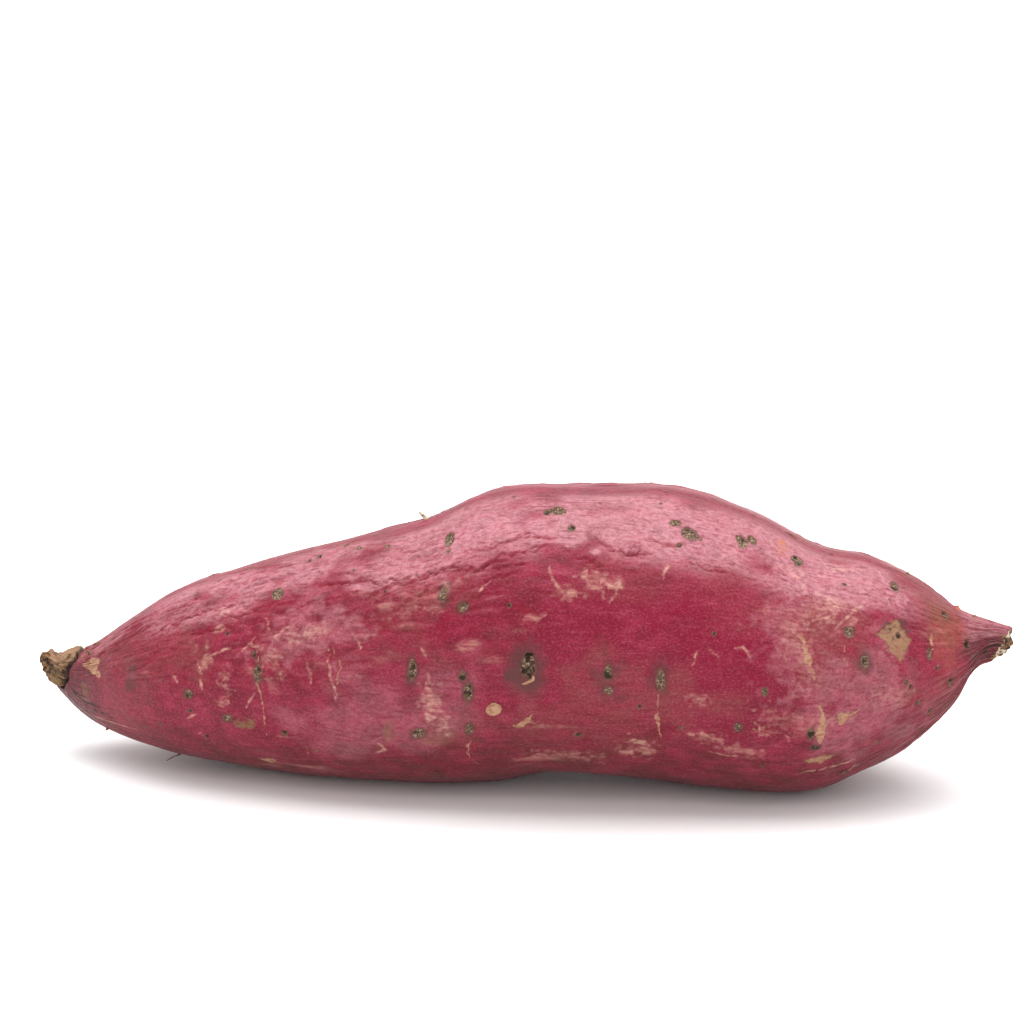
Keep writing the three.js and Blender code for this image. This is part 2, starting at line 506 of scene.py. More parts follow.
# Dots of cork on the sloping top: along, around, width, height.
DOTS = [
    (-63, 68, 0.9, 1.1), (-59, 78, 1, 1.2), (-53, 85, 1, 1.6), (-40, 74, 1, 1.2),
    (-38, 75, 1.2, 1), (-33, 81, 1, 1.2), (-32, 84, 1.2, 1.2), (-30, 74, 1.3, 1.4),
    (-24, 70, 1.3, 1.3), (-21, 76, 1.3, 1), (1, 80, 1.1, 1.1), (31, 85, 0.9, 0.9),
    (30, 76, 0.7, 0.9), (38, 58, 0.8, 1), (48, 87, 0.9, 1.1), (56, 88, 2.2, 1.6),
    (64, 85, 1, 1.2), (75, 55, 0.6, 0.7), (-30, 58, 0.6, 0.6), (18, 73, 0.7, 0.7),
]

# Smaller dark flecks on the front: along, around.
FLECKS = [
    (79, 3), (66, 58), (51, -33), (-37, -31), (-23, 43), (27, -12), (41, 20), (2, 26), (-70, -20),
    (73, -30), (84, 12), (-55, 35), (35, -20), (11, -45), (-13, -48),
]

# Flaked patches: how strong each is, and its outline as places round it.
FLAKES = [
    (0.5, [(72, 32), (74, 37), (76, 43), (78, 37), (79, 31), (78, 24), (77, 17), (75, 24), (74, 28)]),
    (0.9, [(65, -5), (66, -4), (67, -6), (70, -4), (67, -8), (66, -11), (65, -10)]),
    (1, [(-89, 44), (-87, 52), (-85, 44), (-85, 32), (-84, 20), (-86, 27), (-88, 36)]),
    (0.7, [(2, -23), (5, -20), (7, -17), (6, -21), (9, -24), (6, -22), (4, -24)]),
    (1, [(61.5, 4), (62, -2), (63, -9), (62.5, -18), (61.5, -20), (61, -12), (61.5, -5)]),
    (0.6, [(59, -28), (63, -27), (65, -29), (62, -32), (60, -31)]),
]

# Tan tracks: width, then the route.
TRACKS = [
    (1.1, [(56, 28), (58, 26), (59, 17), (60, 12), (61, 8)]),
    (0.6, [(31, -5), (30, -13), (31, -21), (31, -28)]),
    (0.5, [(-49, 31), (-48, 20), (-48, 4), (-47, -9), (-47, -24)]),
    (0.4, [(-33, 21), (-31, 14), (-32, 4), (-32, -6)]),
    (0.4, [(66, 26), (66, 20), (67, 15)]),
    (0.4, [(-41, -21), (-39, -28), (-39, -35)]),
    (0.5, [(-6, -28), (-7, -36), (-5, -44)]),
    (0.8, [(83, 33), (83, 27), (82, 22)]),
]

# Pale scratches: routes.
SCRATCHES = [
    [(-61, 23), (-60, 13), (-60, 4)], [(-38, 18), (-37, 6)], [(-34, 21), (-33, 8), (-32, -4)],
    [(-29, 26), (-27, 19)], [(-15, 16), (-14, 12)], [(-14, 6), (-13, 0)], [(-11, 41), (-10, 37)],
    [(-2, 36), (-4, 33)], [(9, 41), (10, 34), (12, 30), (16, 29)], [(32, 44), (31, 38)],
    [(38, 13), (37, 7)], [(-62, -10), (-64, -14)], [(45, 16), (47, 17), (48, 14)],
    [(40, 14), (42, 12), (42, 9)], [(50, -13), (50, -17), (52, -16)], [(-47, 40), (-46, 33)],
    [(-24, -25), (-23, -30), (-25, -31)], [(55, -14), (56, -18)], [(19, 35), (20, 27)],
    [(23, 34), (21, 26)], [(-51, -6), (-50, -2), (-49, 2)], [(71, 52), (66, 38), (64, 33)],
    [(-53, 21), (-50, 28), (-47, 23)], [(-50, 28), (-49, 31)], [(-45, 29), (-42, 33), (-40, 31)],
    [(-44, 16), (-43, 9), (-42, 11)], [(67.5, -46), (69, -43), (70, -45)], [(-61, -24), (-62, -26)],
    [(-66, 15), (-65, 10)], [(-58, 24), (-54, 27)], [(58, 33), (62, 38), (65, 42)],
    [(-55, 12), (-56, 8)], [(58, -37), (64, -36), (70, -38)], [(40, -30), (50, -29)],
]

# Creases: width, depth, then the route.
CREASES = [
    (0.34, 0.5, [
        (-45, 57), (-36, 53), (-27, 50), (-21, 48), (-13, 47), (-5, 42), (1, 46), (8, 49), (15, 45),
    ]),
    (0.3, 0.35, [(-8, 52), (-2, 51), (5, 54), (12, 52)]),
    (0.28, 0.35, [(-40, 42), (-31, 44), (-22, 42), (-12, 41)]),
    (0.28, 0.4, [(17, 53), (20, 49), (23, 45)]),
    (0.34, 0.5, [(14, 42), (18, 40), (21, 41)]),
    (0.32, 0.5, [(22, 48), (25, 46), (29, 48)]),
    (0.26, 0.3, [(28, 55), (32, 53), (36, 54)]),
    (0.26, 0.25, [(33, 46), (40, 46), (48, 44)]),
    (0.26, 0.3, [(65, 47), (68, 43), (71, 39)]),
    (0.3, 0.35, [(-86, 50), (-83, 52), (-80, 49)]),
    (0.3, 0.35, [(-79, 51), (-75, 53), (-71, 56)]),
    (0.3, 0.35, [(-73, 46), (-66, 50), (-58, 51), (-52, 54)]),
    (0.26, 0.3, [(-70, 60), (-66, 61), (-63, 60)]),
    (0.28, 0.35, [(-58, 46), (-53, 44), (-47, 46)]),
    (0.26, 0.3, [(-66, 40), (-58, 38), (-50, 39)]),
    (0.26, 0.3, [(-4, 22), (2, 24), (8, 22)]),
    (0.3, 0.3, [(56, 47), (60, 45), (66, 46)]),
]

# How many short wrinkles lie below the longest crease.
WRINKLES = 18

# A crease is several strands that wander apart: the width and depth of each, as a share.
STRANDS = (0.65, 0.5, 0.4)

# Small swellings: along, around, width, height round the root, how far they stand out.
BUMPS = [
    (18, 44, 5, 4, 0.8), (25, 51, 5, 3.6, 0.8), (-45, 52, 3, 3, 0.35),
    (57, 66, 3, 3, 0.25), (75, 30, 7, 7, 0.3), (62, 3, 2.5, 14, 0.3),
    (79, 95, 0.9, 0.9, 0.5), (89, 94, 1.3, 1.1, 0.7), (92.5, 95, 0.8, 0.8, 0.5),
    (-34, 42, 9, 5, 0.4), (-20, 38, 12, 5, 0.35), (-60, 46, 14, 4, 0.4),
]

# Soft blotches: along, around, width, height, mask, strength, patchiness, grain.
# The bloom rows paint highlights along the top and on small bumps, partly as waxy bloom, and lighten a few
# patches lower down.
STAINS = [
    (89, 92, 1.6, 2.2, "rust", 1, 0.2, 0.8), (79, 93, 1.2, 1.6, "bark", 0.8, 0.3, 0.8),
    (92.5, 93, 1.2, 1.4, "bark", 0.8, 0.3, 0.8), (75, 58, 9, 6, "bloom", 1, 0.3, 2),
    (83, 31, 1.3, 2.8, "flake", 0.8, 0.5, 0.8), (18, 46, 3, 2, "bloom", 1, 0.2, 1),
    (25, 53, 3, 2, "bloom", 1, 0.2, 1), (76, 36, 5, 6, "halo", 0.8, 0.6, 1),
    (22, -4, 62, 40, "crimson", 0.7, 0.4, 9),
    (44, 22, 34, 26, "crimson", 1, 0.5, 5), (46, 4, 18, 10, "crimson", 1, 0.4, 3),
    (-10, 20, 20, 6, "crimson", 1, 0.6, 3), (-26, 15, 18, 10, "crimson", 0.9, 0.7, 4),
    (-2, 32, 12, 14, "crimson", 0.6, 0.6, 4), (15, 15, 22, 12, "crimson", 0.55, 0.6, 4),
    (52, 1, 5, 6, "crimson", 1, 0.3, 2), (-8, -46, 30, 14, "crimson", 0.6, 0.8, 4),
    (66, 50, 20, 10, "crimson", 0.55, 0.6, 3), (12, -34, 12, 8, "crimson", 0.7, 0.6, 3),
    (-72, 40, 10, 8, "crimson", 0.5, 0.7, 3), (-40, -22, 22, 12, "crimson", 0.5, 0.6, 4),
    (5.5, 1, 9, 13, "halo", 0.85, 0.12, 2), (2, 0, 4, 4.5, "halo", 0.9, 0.3, 1.5),
    (21, -3, 6, 12, "halo", 0.45, 0.5, 2), (31, 1, 5, 11, "halo", 0.5, 0.5, 2),
    (-22, -19, 2.5, 6, "olive", 0.45, 0.7, 1.2), (-12, -25, 9, 4, "olive", 0.35, 0.6, 1.2),
    (-76, 14, 4, 5, "halo", 0.6, 0.5, 1.5), (-88, 0, 3, 4, "olive", 0.5, 0.6, 1.2),
    (-51, -15, 5.5, 2.2, "olive", 0.9, 0.9, 0.8), (54, 75, 2, 2.4, "rust", 0.9, 0.5, 0.8),
    (54, 71, 4, 6, "rust", 0.35, 0.6, 1), (86, 30, 8, 18, "rust", 0.2, 0.4, 3),
    (85, 56, 8, 14, "olive", 0.3, 0.5, 2),
    (22, -6, 46, 16, "dust", 0.8, 0.6, 5), (64, 26, 24, 22, "dust", 0.75, 0.6, 4),
    (-67, 28, 18, 16, "dust", 0.7, 0.6, 4), (-16, 30, 26, 10, "dust", 0.5, 0.7, 4),
    (-5, -20, 26, 10, "dust", 0.5, 0.7, 4), (-2, -52, 60, 10, "dust", 0.6, 0.7, 5),
    (84, 62, 9, 10, "dust", 1, 0.4, 1.5), (85, 40, 6, 10, "dust", 0.5, 0.5, 1.5),
    (-46, 63, 34, 12, "bloom", 1, 0.5, 4), (-66, 58, 18, 7, "bloom", 0.7, 0.6, 3),
    (-8, 64, 30, 16, "bloom", 0.9, 0.5, 4), (63, 62, 16, 8, "bloom", 1, 0.5, 3),
    (34, 60, 24, 14, "bloom", 0.9, 0.5, 4), (-38, 32, 22, 14, "bloom", 0.45, 0.8, 2),
    (-84, 62, 14, 5, "bloom", 0.6, 0.6, 2),
    (18, 36, 6, 4, "pale", 0.75, 0.8, 1), (22, 33, 3, 3, "pale", 0.8, 0.6, 0.8),
    (13, 29, 6, 3, "pale", 0.45, 0.8, 0.9), (6, 21, 5, 2, "pale", 0.5, 0.8, 0.8),
    (-13, -8, 4.5, 8, "pale", 0.8, 0.9, 1), (-11, -18, 3, 6, "pale", 0.6, 1, 1),
    (-22, -14, 52, 22, "bloom", 0.3, 0.5, 6), (72, -4, 24, 34, "bloom", 0.4, 0.6, 4),
    (56, 22, 16, 22, "bloom", 0.35, 0.8, 2),
    (40, -23, 6, 4, "pale", 0.65, 0.9, 1), (46, -26, 10, 3, "pale", 0.5, 0.9, 1),
    (27, -34, 7, 5, "pale", 0.75, 0.9, 1), (-48, -46, 5, 4, "flake", 0.8, 0.6, 0.9),
    (-41, 27, 4, 2.4, "pale", 0.8, 0.7, 0.8), (-56, -2, 3, 3, "pale", 0.7, 0.8, 0.8),
    (-45, 20, 5, 4, "pale", 0.5, 0.9, 0.8), (-36, 30, 6, 3, "pale", 0.5, 0.9, 0.8),
    (64, 46, 5, 3, "pale", 0.65, 0.8, 1), (60, 38, 8, 6, "pale", 0.4, 0.9, 1),
    (58, 22, 8, 14, "pale", 0.35, 0.9, 1.2), (66, 70, 6, 2.5, "pale", 0.6, 0.8, 1),
    (12, -42, 14, 4, "pale", 0.45, 1, 1), (58, -8, 14, 6, "pale", 0.3, 1, 1),
    (-15, 36, 14, 6, "pale", 0.3, 1, 1.2), (76, -2, 8, 5, "pale", 0.3, 1, 1),
    (38, -6, 5, 2.5, "pale", 0.4, 1, 0.8), (50, -14, 3, 2.5, "flake", 0.5, 1.2, 0.6),
    (-24, -28, 4, 2.5, "flake", 0.3, 1.3, 0.6), (-55, 9, 3, 5, "pale", 0.4, 1.2, 0.8),
    (12, 60, 15, 13, "bloom", 1, 0.4, 3), (-38, 72, 26, 11, "bloom", 0.8, 0.4, 3),
    (-8, 50, 22, 9, "bloom", 0.5, 0.6, 3), (14, -24, 34, 14, "dust", 0.6, 0.6, 5),
]


def each(skin, mark, rows, seed, step, *rest):
    """Makes one mark for each row of a list, with its own seeds."""
    for k, row in enumerate(rows):
        mark(skin, seed + step * k, *row, *rest)


def mark_front(skin):
    """Everything that the lists above name."""
    for k, (width, depth, route) in enumerate(CREASES):
        for strand, share in enumerate(STRANDS):
            crease(skin, 100 + 10 * k + 400 * strand, width * share, depth * share, route, 0.5, 1.0)
    draw = np.random.default_rng(91).uniform
    for k in range(WRINKLES):
        along, around = draw(-30, 0), draw(32, 47)
        length, rise = draw(3, 8), draw(-1, 4)
        route = [(along, around), (along + length / 2, around + rise), (along + length, around + rise)]
        crease(skin, 900 + 10 * k, 0.2, draw(0.2, 0.35), route, 0.6, 0.7)
    each(skin, bump, BUMPS, 300, 10)
    each(skin, stain, STAINS, 500, 10)
    each(skin, scratch, TRACKS, 1200, 10, "flake", 0.7, 0.4, 0.3)
    for k, route in enumerate(SCRATCHES):
        scratch(skin, 1400 + 10 * k, 0.4, route)
    for k, (strength, outline) in enumerate(FLAKES):
        flake(skin, 1700 + 10 * k, strength, outline)
        # A weak flake shows old cork through what is left of the skin.
        flake(skin, 1700 + 10 * k, 1.0 - strength ** 4, outline, "olive")
    each(skin, scar, SCARS, 2000, 20)
    each(skin, scar, DOTS, 4000, 20, 0.0, 0.6, 0.2)
    each(skin, scar, FLECKS, 4600, 20, 0.9, 1.0, 0.0, 0.7, 0.15)
    disc(skin, 5000, -1, -14, 3.1)
    # The largest scar, where a side root rotted away: a deep black hollow.
    scar(skin, 5100, 5.7, 3, 2.8, 5.4, 1.8, 0.8, 0.6)
    scratch(skin, 5200, 1.1, [(4.6, -4), (5.8, -3), (6.8, -1)], "flake", 1.0, 0.2, 0.0)


# ---- The hidden sides carry the same kinds of mark, strewn at random

# The angles of the sides that the lists above leave bare.
HIDDEN_FROM, HIDDEN_TO = 98, 292

# How many of each kind of mark lie there.
BLOTCHES, SCUFFS, LINES, FOLDS, CHIPS, PITS, DARK_FLECKS = 26, 34, 22, 10, 7, 44, 40


def strew(skin):
    """Blotches, scuffs, lines, folds, chips and pits over the hidden sides."""
    random = np.random.default_rng(77)
    draw = random.uniform

    def place():
        return draw(-78, 80), draw(HIDDEN_FROM, HIDDEN_TO)

    for k in range(BLOTCHES):
        stain(skin, 6000 + 10 * k, *place(), draw(10, 30), draw(6, 18), "crimson", draw(0.4, 0.9), 0.7, 4.0)
    for k in range(SCUFFS):
        stain(skin, 6400 + 10 * k, *place(), draw(3, 11), draw(2, 7), "pale", draw(0.3, 0.75), 0.9, 1.0)
    for k in range(LINES):
        along, around = place()
        route = [(along, around), (along + draw(-3, 3), around - draw(8, 20))]
        scratch(skin, 6800 + 10 * k, draw(0.35, 0.6), route)
    for k in range(FOLDS):
        along, around = place()
        route = [(along + step, around + draw(-3, 3)) for step in (0, 5, 10, 15)]
        crease(skin, 7100 + 10 * k, 0.28, 0.35, route)
    for k in range(CHIPS):
        along, around = place()
        turns = np.linspace(0, 2 * math.pi, 8)[:-1]
        ring = [(along + draw(1, 3) * math.cos(t), around + draw(3, 8) * math.sin(t)) for t in turns]
        flake(skin, 7300 + 10 * k, 1.0, ring)
    for k in range(PITS):
        along, around = place()
        wide = draw(1.0, 2.4)
        tall = wide * draw(0.8, 2.4)
        halo = random.choice([0.0, 0.6, 1.1])
        scar(skin, 7500 + 20 * k, along, around, wide, tall, halo, draw(0.35, 0.75))
    for k in range(DARK_FLECKS):
        scar(skin, 8500 + 20 * k, *place(), 0.9, 0.9, 0.0, 0.65, 0.15)


# ---- Relief and colour of the whole skin

def band(low, high, fade, value):
    """1 between low and high, falling to 0 over a fade outside them."""
    return smoothstep(low - fade, low, value) * (1 - smoothstep(high, high + fade, value))


def wrinkle(skin):
    """Undulations, wrinkles that run along the root, and a fine lengthwise grain."""
    x, around = skin.x, skin.around
    skin.relief += 0.55 * noise(skin.place, 16.0, 11, 2)
    wander = 6.0 * noise(skin.place, 18.0, 12)
    # The wrinkled zones: above the middle of the tip half, by the hump, by the stem, at the back.
    zone = band(-86, 6, 10, x + wander) * band(22, 66, 14, around + 2 * wander)
    zone = np.maximum(zone, 0.6 * band(10, 32, 6, x + wander) * band(34, 56, 8, around))
    zone = np.maximum(zone, 0.5 * smoothstep(60, 86, x) * band(-60, 60, 20, around))
    back = band(110, 200, 20, around % 360) * smoothstep(-0.1, 0.6, noise(skin.place, 26.0, 13))
    zone = np.maximum(zone, 0.7 * back) * smoothstep(-0.8, 0.25, noise(skin.place, 9.0, 14, 2))
    coarse = np.abs(skin.streaks(2.1, 0.5, 21))
    small = np.abs(skin.streaks(1.1, 0.27, 22))
    skin.relief += zone * (np.minimum(coarse, 1.0) * 0.62 + np.minimum(small, 1.0) * 0.24)
    # Painted shade darkens the wrinkles' valleys.
    valleys = (1 - smoothstep(0.0, 0.17, coarse)) + 0.45 * (1 - smoothstep(0.0, 0.14, small))
    skin.lay("crease", np.clip(0.55 * zone * valleys, 0, 1))
    crests = smoothstep(0.35, 1.0, coarse) * smoothstep(-0.2, 0.6, noise(skin.place, 5.0, 16, 2))
    skin.lay("pale", 0.5 * zone * crests * band(10, 46, 12, around))
    crackle(skin, wander)
    skin.relief += 0.035 * skin.streaks(2.4, 0.3, 23) * (1 - skin.masks["cut"])
    skin.relief += 0.02 * noise(skin.place, 0.5, 15)


def crackle(skin, wander):
    """Two patches where the skin has shrunk into a net of fine cracks."""
    net = np.abs(noise(skin.place, 2.8, 17, 3))
    zone = band(-55, -38, 6, skin.x + wander) * band(8, 48, 8, skin.around)
    zone = np.maximum(zone, 0.7 * band(52, 68, 4, skin.x) * band(30, 56, 8, skin.around))
    skin.relief += 0.4 * zone * np.minimum(net, 0.5)
    # Painted shade in the cracks.
    skin.lay("crease", 0.6 * zone * (1 - smoothstep(0.0, 0.12, net)))
    scuffed = smoothstep(-0.1, 0.4, noise(skin.place, 4.0, 18))
    skin.lay("pale", 0.6 * zone * smoothstep(0.25, 0.6, net) * scuffed)


def tint(skin):
    """Colour that changes slowly over the root, with shade painted under it and a highlight painted along
    its top.
    """
    x, around = skin.x, skin.around
    ends = np.maximum(smoothstep(-72, -94, x), 0.6 * smoothstep(78, 92, x))
    ridge = band(76, 100, 10, around) * smoothstep(-0.6, 0.6, noise(skin.place, 14.0, 31, 2))
    patches = smoothstep(0.05, 0.75, noise(skin.place * [0.6, 1, 1], 12.0, 32, 3))
    skin.lay("dust", np.clip(0.75 * ends + 0.5 * ridge + 0.4 * patches, 0, 1))
    # Painted shade: the underside is darkened where the root shades itself, with a little mottling.
    under = band(222, 320, 30, around % 360)
    skin.lay("painted_underside_shade", under * (0.7 + 0.3 * noise(skin.place, 7.0, 37, 3)))
    # A painted highlight, partly waxy bloom: pale bands along the top front and the top back, broken into
    # patches.
    painted_highlight_band = np.maximum(band(50, 76, 12, around), 0.8 * band(102, 134, 14, around))
    painted_highlight_band = painted_highlight_band * smoothstep(-0.45, 0.45, noise(skin.place * [0.6, 1, 1], 9.0, 35, 3))
    skin.lay("bloom", painted_highlight_band * band(-66, 72, 14, x))
    # Corky bits on the crest towards both ends, and pale lines low on the front.
    crest = band(90, 112, 6, around) * np.maximum(smoothstep(-58, -68, x), smoothstep(44, 56, x))
    skin.lay("flake", 0.4 * crest * smoothstep(0.0, 0.7, noise(skin.place, 2.0, 38, 3)))
    low = band(-62, -24, 12, around) * smoothstep(0.0, 0.5, noise(skin.place, 10.0, 34, 2))
    skin.lay("pale", 0.6 * low * smoothstep(0.55, 1.0, skin.streaks(4.0, 0.35, 33)))


# ---- The root tip and the cut stem

# The crack round the tip's cap: angles round the root, and how far along the crack lies at each.
CRACK_AROUND = [-90, -40, -15, 10, 25, 45, 75, 100, 200, 270]
CRACK_ALONG = [-97, -96.5, -94, -92.9, -93.1, -92.3, -91, -91, -94, -97]

# Fine dark cracks in the skin beside the cap: start and end along the root, and angle round it.
TIP_CRACKS = [(-94, -87, 0), (-92, -84, -9), (-88, -82, -17), (-93, -86, -28)]

# How many warts stand on the ridge beside the cap.
WARTS = 9


def finish_tip(skin):
    """The dried end: a crusty knob, a cap that has cracked away from the skin, and mauve skin."""
    x, around = skin.x, skin.around
    rough = noise(skin.place, 1.0, 41, 3)
    # The crack runs down the front from the ridge, and on under the tip.
    gap = x - np.interp(around, CRACK_AROUND, CRACK_ALONG) + 0.35 * rough
    cap = 1 - smoothstep(-0.1, 0.15, gap)
    skin.relief += 0.5 * cap * smoothstep(-4, 0, gap) - 0.8 * np.exp(-((gap - 0.15) / 0.3) ** 2)
    # A saddle behind the knob, then the knob itself, shrunk and lumpy.
    skin.relief += -0.9 * band(55, 125, 25, around) * np.exp(-((x + 96.2) / 1.3) ** 2)
    skin.relief += 0.3 * cap * rough
    knob = 1 - smoothstep(-98.6, -97.4, x + 0.4 * rough)
    skin.relief += knob * (0.45 * rough - 0.55)
    # Bark on the cap: rusty on top, olive low on the front, and nearly black between.
    skin.lay("bark", cap)
    top = 0.8 * cap * band(52, 140, 14, around) * (1 - knob)
    skin.lay("rust", top * smoothstep(-0.7, 0.3, rough + 0.2))
    skin.lay("olive", cap * band(-22, 14, 8, around) * smoothstep(-97.0, -95.3, x))
    # Painted shade: a dark band along the crack's groove.
    skin.lay("dark_mark_and_shade", np.exp(-((gap - 0.32) / 0.55) ** 4) * band(-24, 84, 10, around))
    shade = cap * band(2, 44, 12, around) * smoothstep(-99.5, -98, x)
    skin.lay("dark_mark_and_shade", 0.75 * shade * smoothstep(-0.4, 0.3, skin.streaks(1.5, 0.3, 42)))
    # Mauve skin beside the cap, with dark grain and cracks below and warts above.
    mauve = 1 - smoothstep(-90, -79, x + 2.0 * rough)
    skin.lay("purple", mauve * band(-75, 30, 30, around) * (1 - cap))
    grain = smoothstep(0.5, 0.95, skin.streaks(2.6, 0.4, 43))
    skin.lay("dark_mark_and_shade", 0.7 * mauve * band(-60, 12, 16, around) * (1 - cap) * grain)
    for k, (start, end, angle) in enumerate(TIP_CRACKS):
        route = [(start, angle), (end, angle - 6)]
        scratch(skin, 5300 + 10 * k, 0.45, route, "dark_mark_and_shade", 1.0, 0.4, 0.1)
    for k in range(WARTS):
        place = -91 + 0.6 * k, 70 + 12 * math.sin(2.4 * k)
        bump(skin, 5400 + 10 * k, *place, 1.0, 1.0, 0.5)
        stain(skin, 5500 + 10 * k, *place, 1.3, 1.3, "bark")


def finish_stem(skin):
    """The neck with its fine dark lines, and the rough face where the vine was cut."""
    x, around = skin.x, skin.around
    lines = skin.streaks(2.2, 0.32, 51)
    neck = smoothstep(88, 92, x)
    side = 1 - skin.masks["cut"]
    front = band(-30, 34, 18, around)
    skin.relief += 0.13 * neck * side * lines
    skin.lay("purple", 0.9 * neck * side * front * smoothstep(-0.9, 0.4, -lines + 0.3))
    skin.lay("dark_mark_and_shade", 1.0 * neck * side * front * smoothstep(0.3, 0.75, lines))
    skin.lay("pale", 0.5 * neck * side * smoothstep(0.6, 1.0, -lines))
    skin.lay("dust", 0.7 * neck * side)
    # A painted highlight, partly waxy bloom, on the top of the neck.
    skin.lay("bloom", 0.75 * neck * side * band(38, 100, 14, around))
    shoulder = band(80, 89, 2, x) * band(-25, 5, 8, around)
    skin.lay("dark_mark_and_shade", 0.6 * shoulder * smoothstep(0.6, 1.0, skin.streaks(3.0, 0.3, 52)))
    # The cut: white fibres round a bulging brown core, inside a lumpy rim.
    rough = noise(skin.place, 1.1, 53, 3)
    face = skin.masks["cut"]
    inward = np.clip((np.arange(len(x)) - skin.rings) / CUT_RINGS, 0, 1)[:, None]
    skin.relief += face * (0.5 * rough + 1.8 * smoothstep(0.0, 0.8, inward))
    rim = np.zeros(skin.shape)
    rim[skin.rings - 2: skin.rings + 1] = 1.0
    rim = gauss(rim, 1.0, 0, False)
    skin.relief += 0.25 * rim * (0.4 + rough)
    near = band(-100, 80, 20, around)
    crust = smoothstep(-0.25, 0.35, rough + 1.6 * (inward - 0.3)) * near + (1 - near)
    edge = 0.8 * rim * smoothstep(-0.2, 0.6, rough)
    skin.lay("bark", np.clip(edge + crust * face, 0, 1))
    skin.lay("dark_mark_and_shade", 0.7 * face * smoothstep(0.2, 0.8, noise(skin.place, 0.8, 54, 2)))


# ---- Rootlets

# Dried side roots: along, around, length, thickness, how far they lie back towards the root tip
# (0 stands straight out), how far they droop, and their mask.
ROOTLETS = [
    (-68.4, -66, 3.4, 0.36, 1.8, 0.1, "bark"),
    (-18, 96, 2.2, 1.0, 0.7, 0.0, "cut"),
    (-84, -54, 0.6, 0.8, 0.3, 0.0, "dust"),
    (-30, 140, 2.2, 0.35, 0.7, 0.2, "bark"),
    (34, 170, 1.6, 0.4, 0.6, 0.2, "pale"),
    (-58, 205, 2.6, 0.35, 0.8, 0.3, "bark"),
]
ROOTLET_RINGS = 8
ROOTLET_SIDES = 8

# How deep in the skin a rootlet starts, and how far above the resting plane it stays.
ROOTLET_DEPTH = 0.4
ROOTLET_CLEARANCE = 0.05


def rootlet(skin, place, along, around, length, thick, back, droop):
    """The points of a tapering, drooping tube, one ring after another and then its tip."""
    column = int(round(around / 360.0 * COLUMNS)) % COLUMNS
    ring = np.searchsorted(skin.x[:skin.rings, column], along)
    way = unit(skin.normal[ring, column] + np.array([-back, 0.0, 0.0]))
    middle = place[ring, column] - ROOTLET_DEPTH * way
    step = (length + ROOTLET_DEPTH) / ROOTLET_RINGS
    points = []
    for k in range(ROOTLET_RINGS):
        side = unit(np.cross(way, [0.2, 0.9, 0.4]))
        other = np.cross(way, side)
        radius = thick / 2 * (1 - 0.5 * k / ROOTLET_RINGS) * (1.4 if k < 2 else 1.0)
        for corner in range(ROOTLET_SIDES):
            turn = 2 * math.pi * corner / ROOTLET_SIDES
            points.append(middle + radius * (math.cos(turn) * side + math.sin(turn) * other))
        middle = middle + step * way
        way = unit(way + [0.0, 0.05 * math.sin(2.0 * k), -droop / ROOTLET_RINGS])
    points.append(middle)
    points = np.array(points)
    points[:, 2] = np.maximum(points[:, 2], ROOTLET_CLEARANCE)
    return points


def rootlet_faces(start):
    """The faces of one rootlet whose first point has this index."""
    faces = []
    for k in range(ROOTLET_RINGS):
        near, far = start + k * ROOTLET_SIDES, start + (k + 1) * ROOTLET_SIDES
        for corner in range(ROOTLET_SIDES):
            next_ = (corner + 1) % ROOTLET_SIDES
            if k < ROOTLET_RINGS - 1:
                faces.append((near + corner, near + next_, far + next_, far + corner))
            else:
                faces.append((near + corner, near + next_, far))
    return faces


# ---- Mesh

# The skin takes the bake map from edge to edge round the root, and up to SKIN_END along it. The
# rootlets share the strip beyond.
SKIN_START, SKIN_END, POLE_END, STRIP_START = 0.002, 0.984, 0.986, 0.990

# The relief falls to this share over this many rings at the tip's and at the stem's end.
END_RELIEF, START_RINGS, END_RINGS = 0.3, 4, 6


def displaced(skin):
    """The grid moved out by its relief, never below the resting plane."""
    fade = np.ones(skin.shape)
    fade[-END_RINGS:] = np.linspace(1, END_RELIEF, END_RINGS)[:, None]
    fade[:START_RINGS] = np.linspace(END_RELIEF, 1, START_RINGS)[:, None]
    place = skin.place + skin.normal * (skin.relief * fade)[..., None]
    place[..., 2] = np.maximum(place[..., 2], 0.0)
    return place


def grid_faces(rings):
    """The corners of the grid's faces: its quads, and a fan of triangles at each end."""
    index = np.arange(rings * COLUMNS).reshape(rings, COLUMNS)
    near, far = index[:-1], index[1:]
    quads = np.stack([near, far, np.roll(far, -1, 1), np.roll(near, -1, 1)], -1).reshape(-1, 4)
    first, last = index[0], index[-1]
    tips = np.stack([first, np.roll(first, -1), np.full(COLUMNS, rings * COLUMNS)], -1)
    stems = np.stack([np.roll(last, -1), last, np.full(COLUMNS, rings * COLUMNS + 1)], -1)
    return quads, tips, stems


def grid_map(rings):
    """Where those corners lie in the bake map."""
    u = np.linspace(SKIN_START, SKIN_END, rings)
    v = np.arange(COLUMNS + 1) / COLUMNS
    grid = np.stack(np.meshgrid(u, v, indexing="ij"), -1)
    quads = np.stack([grid[:-1, :-1], grid[1:, :-1], grid[1:, 1:], grid[:-1, 1:]], 2)
    middle = (v[:-1] + v[1:]) / 2
    tip_pole = np.stack([np.zeros(COLUMNS), middle], -1)
    stem_pole = np.stack([np.full(COLUMNS, POLE_END), middle], -1)
    tips = np.stack([grid[0, :-1], grid[0, 1:], tip_pole], 1)
    stems = np.stack([grid[-1, 1:], grid[-1, :-1], stem_pole], 1)
    return np.vstack([part.reshape(-1, 2) for part in (quads, tips, stems)])


